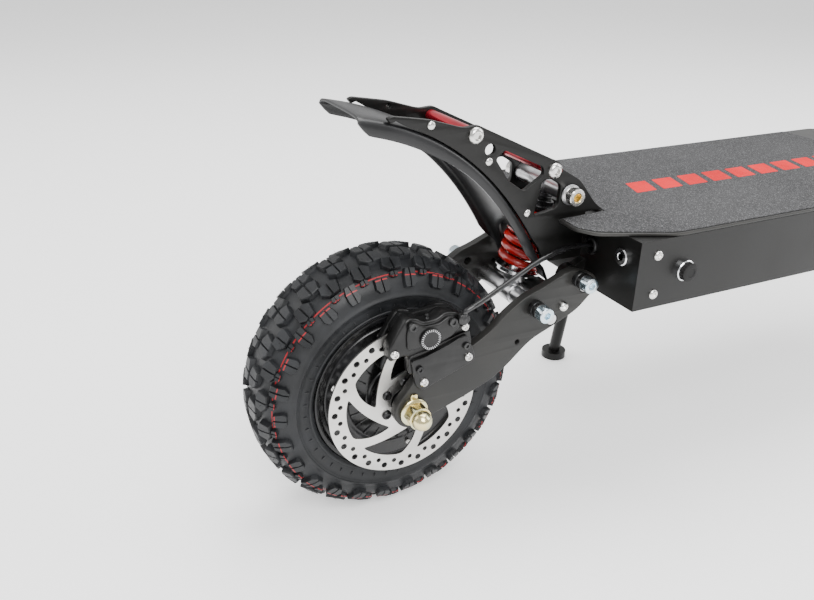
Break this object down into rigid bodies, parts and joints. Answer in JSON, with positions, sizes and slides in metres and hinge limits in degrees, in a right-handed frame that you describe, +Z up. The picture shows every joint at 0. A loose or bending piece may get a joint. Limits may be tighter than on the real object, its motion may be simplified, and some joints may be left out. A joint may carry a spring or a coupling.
{
  "type": "electric kick scooter",
  "caption": "Electric kick scooter: knobbly hub-motor tyres, sprung swing arms, disc brakes, grip-covered deck box, rear fender on a plate carrier and folding stem.",
  "frame": {"origin": "on the ground midway between the axles, the centre of the bounding box's base", "axes": "+X forward, +Y to the rider's left, +Z up"},
  "size_m": [1.3456, 0.624, 1.2655],
  "materials": {
    "frame_black": "satin black powder coat",
    "anodised_black": "satin black anodised",
    "grip_mat": "coarse anti-slip grit",
    "battery_wrap": "heat-shrink wrap",
    "bare_aluminium": "cast",
    "bright_steel": "polished",
    "brushed_steel": "brushed",
    "red_anodised": "satin red anodised",
    "fender_plastic": "satin moulded",
    "tyre_rubber": "matt rubber",
    "motor_black": "gloss black paint",
    "rotor_steel": "ground",
    "zinc_yellow": "yellow zinc plate",
    "zinc_blue": "blue zinc plate",
    "spring_red": "gloss red powder coat",
    "black_plastic": "satin moulded",
    "rubber": "matt",
    "button_red": "gloss"
  },
  "bodies": {
    "chassis": {"deck_frame": "frame_black", "deck_plate": "frame_black", "grip_mat": "grip_mat", "battery_pack": "battery_wrap", "controllers": "bare_aluminium", "frame_screws": "bright_steel", "panel_rings": "bright_steel", "fender_carrier": "anodised_black", "cross_tubes": "red_anodised", "carrier_bolts": "bright_steel", "rear_fender": "fender_plastic", "rear_pivots": "brushed_steel", "neck": "frame_black", "headset": "brushed_steel"},
    "charge_cap": {"charge_cap": "black_plastic"},
    "kickstand": {"kickstand": "frame_black"},
    "rear_arm": {"rear_swing_arm": "frame_black", "rear_arm_bolts": "zinc_blue", "rear_axle": "brushed_steel", "rear_axle_nuts": "zinc_yellow", "rear_caliper": "anodised_black", "rear_caliper_bracket": "anodised_black", "rear_brake_hose": "rubber"},
    "rear_wheel": {"rear_tyre": "tyre_rubber", "rear_hub_motor": "motor_black", "rear_rotor": "rotor_steel", "rear_hub_screws": "brushed_steel"},
    "rear_damper": {"rear_damper_body": "anodised_black", "rear_spring": "spring_red"},
    "rear_rod": {"rear_damper_rod": "bright_steel"},
    "steering": {"fork": "frame_black", "front_fender": "fender_plastic", "fork_pivots": "brushed_steel", "stem_base": "frame_black"},
    "front_arm": {"front_swing_arm": "frame_black", "front_arm_bolts": "zinc_blue", "front_axle": "brushed_steel", "front_axle_nuts": "zinc_yellow", "front_caliper": "anodised_black", "front_caliper_bracket": "anodised_black"},
    "front_wheel": {"front_tyre": "tyre_rubber", "front_hub_motor": "motor_black", "front_rotor": "rotor_steel", "front_hub_screws": "brushed_steel"},
    "front_damper": {"front_damper_body": "anodised_black", "front_spring": "spring_red"},
    "front_rod": {"front_damper_rod": "bright_steel"},
    "stem": {"stem_tube": "frame_black", "headlight": "black_plastic", "handlebar": "anodised_black", "grips": "rubber", "lever_mounts": "anodised_black", "display_unit": "black_plastic", "switch_pod": "black_plastic"},
    "fold_latch": {"fold_latch": "red_anodised"},
    "left_lever": {"brake_lever_left": "anodised_black"},
    "right_lever": {"brake_lever_right": "anodised_black"},
    "throttle": {"throttle_trigger": "black_plastic"},
    "mode_button": {"mode_button": "button_red"},
    "horn_button": {"horn_button": "button_red"}
  },
  "joints": [
    {"name": "charge_cap_pull", "type": "slide", "parent": "chassis", "child": "charge_cap", "axis": [0, -1, 0], "range_m": [0, 0.018]},
    {"name": "kickstand_fold", "type": "hinge", "parent": "chassis", "child": "kickstand", "pos_m": [-0.17425, 0.122, 0.219], "axis": [0, 1, 0], "range_deg": [0, 92]},
    {"name": "rear_suspension", "type": "hinge", "parent": "chassis", "child": "rear_arm", "pos_m": [-0.336, 0, 0.241], "axis": [0, 1, 0], "range_deg": [-3, 9], "stiffness_Nm_per_rad": 600, "springref_deg": -3.01, "deforming": ["rear_spring"]},
    {"name": "rear_wheel_spin", "type": "hinge", "parent": "rear_arm", "child": "rear_wheel", "pos_m": [-0.53, 0, 0.143], "axis": [0, 1, 0], "continuous": true},
    {"name": "rear_damper_pivot", "type": "hinge", "parent": "chassis", "child": "rear_damper", "pos_m": [-0.343, 0, 0.329], "axis": [0, 1, 0], "range_deg": [-0.98, 2.95]},
    {"name": "rear_rod_pivot", "type": "hinge", "parent": "rear_arm", "child": "rear_rod", "pos_m": [-0.374, 0, 0.21], "axis": [0, 1, 0], "range_deg": [-6.23, 2.08]},
    {"name": "steering_turn", "type": "hinge", "parent": "chassis", "child": "steering", "pos_m": [0.43921, 0, 0.47581], "axis": [-0.2079, 0, 0.9781], "range_deg": [-35, 35]},
    {"name": "front_suspension", "type": "hinge", "parent": "steering", "child": "front_arm", "pos_m": [0.336, 0, 0.241], "axis": [0, -1, 0], "range_deg": [-3, 9], "stiffness_Nm_per_rad": 600, "springref_deg": -4.3, "deforming": ["front_spring"]},
    {"name": "front_wheel_spin", "type": "hinge", "parent": "front_arm", "child": "front_wheel", "pos_m": [0.53, 0, 0.143], "axis": [0, 1, 0], "continuous": true},
    {"name": "front_damper_pivot", "type": "hinge", "parent": "steering", "child": "front_damper", "pos_m": [0.343, 0, 0.329], "axis": [0, -1, 0], "range_deg": [-0.98, 2.95]},
    {"name": "front_rod_pivot", "type": "hinge", "parent": "front_arm", "child": "front_rod", "pos_m": [0.374, 0, 0.21], "axis": [0, -1, 0], "range_deg": [-6.23, 2.08]},
    {"name": "stem_fold", "type": "hinge", "parent": "steering", "child": "stem", "pos_m": [0.38196, 0, 0.57201], "axis": [0, -1, 0], "range_deg": [0, 78]},
    {"name": "latch_lever", "type": "hinge", "parent": "steering", "child": "fold_latch", "pos_m": [0.4585, 0, 0.56784], "axis": [0, 1, 0], "range_deg": [0, 95]},
    {"name": "left_brake", "type": "hinge", "parent": "stem", "child": "left_lever", "pos_m": [0.31196, 0.096, 1.23801], "axis": [-0.2079, 0, 0.9781], "range_deg": [0, 8], "stiffness_Nm_per_rad": 4, "springref_deg": -2.86},
    {"name": "right_brake", "type": "hinge", "parent": "stem", "child": "right_lever", "pos_m": [0.31196, -0.096, 1.23801], "axis": [0.2079, 0, -0.9781], "range_deg": [0, 8], "stiffness_Nm_per_rad": 4, "springref_deg": -2.86},
    {"name": "throttle_pull", "type": "hinge", "parent": "stem", "child": "throttle", "pos_m": [0.2787, 0, 1.23094], "axis": [0, 1, 0], "range_deg": [0, 28], "stiffness_Nm_per_rad": 0.6, "springref_deg": -11.46},
    {"name": "mode_press", "type": "slide", "parent": "stem", "child": "mode_button", "axis": [0.2079, 0, -0.9781], "range_m": [0, 0.0015], "stiffness_N_per_m": 400, "springref_m": -0.001},
    {"name": "horn_press", "type": "slide", "parent": "stem", "child": "horn_button", "axis": [0.9781, 0, 0.2079], "range_m": [0, 0.002], "stiffness_N_per_m": 400, "springref_m": -0.001}
  ],
  "couplings": [
    {"joint": "rear_damper_pivot", "follows": "rear_suspension", "ratio": 0.32185},
    {"joint": "rear_rod_pivot", "follows": "rear_suspension", "ratio": -0.67815},
    {"joint": "front_damper_pivot", "follows": "front_suspension", "ratio": 0.32185},
    {"joint": "front_rod_pivot", "follows": "front_suspension", "ratio": -0.67815}
  ]
}
